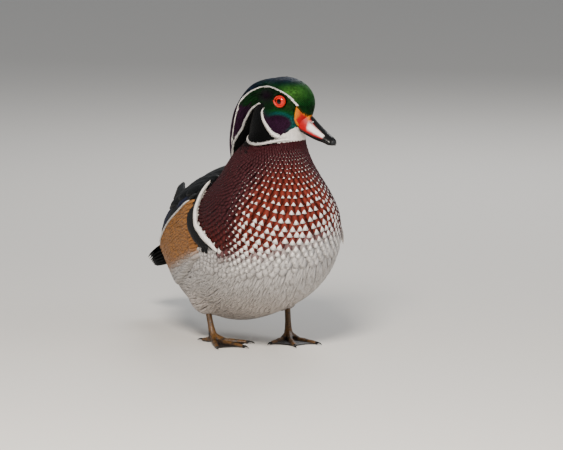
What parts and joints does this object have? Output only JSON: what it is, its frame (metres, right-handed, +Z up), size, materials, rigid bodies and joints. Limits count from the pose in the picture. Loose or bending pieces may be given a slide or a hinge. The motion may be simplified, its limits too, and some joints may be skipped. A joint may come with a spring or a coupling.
{
  "type": "wood duck",
  "caption": "Life-size still model of a crested drake wood duck in full breeding plumage, standing on webbed feet with folded wings and its head turned to its left.",
  "frame": {"origin": "on the floor, under the middle of the bird's width and length", "axes": "+Z up, the body faces -Y, the bird's left side is +X"},
  "size_m": [0.1666, 0.3579, 0.2866],
  "materials": {
    "plumage_breast": "soft barbed feathers, satin",
    "plumage_head": "silky iridescent feathers",
    "plumage_flank": "soft barbed feathers, satin",
    "plumage_wing": "smooth stiff feathers with a blue sheen",
    "bill_horn": "smooth horn, painted in sharp patches",
    "eye_cornea": "wet and polished",
    "lid_skin": "bare skin, satin",
    "leg_skin": "scaled skin, satin",
    "claw_horn": "smooth dark horn"
  },
  "bodies": {
    "root": {"bill_lower": "bill_horn", "bill_upper": "bill_horn", "claw_L_hind": "claw_horn", "claw_L_inner": "claw_horn", "claw_L_middle": "claw_horn", "claw_L_outer": "claw_horn", "claw_R_hind": "claw_horn", "claw_R_inner": "claw_horn", "claw_R_middle": "claw_horn", "claw_R_outer": "claw_horn", "crest": "plumage_head", "eye_L": "eye_cornea", "eye_R": "eye_cornea", "eyelid_L": "lid_skin", "eyelid_R": "lid_skin", "flank_L": "plumage_flank", "flank_R": "plumage_flank", "foot_L": "leg_skin", "foot_R": "leg_skin", "head": "plumage_head", "leg_L": "leg_skin", "leg_R": "leg_skin", "neck": "plumage_breast", "rump_plumes_L": "plumage_breast", "rump_plumes_R": "plumage_breast", "tail": "plumage_wing", "thigh_L": "plumage_breast", "thigh_R": "plumage_breast", "torso": "plumage_breast", "wing_L": "plumage_wing", "wing_R": "plumage_wing"}
  },
  "joints": []
}
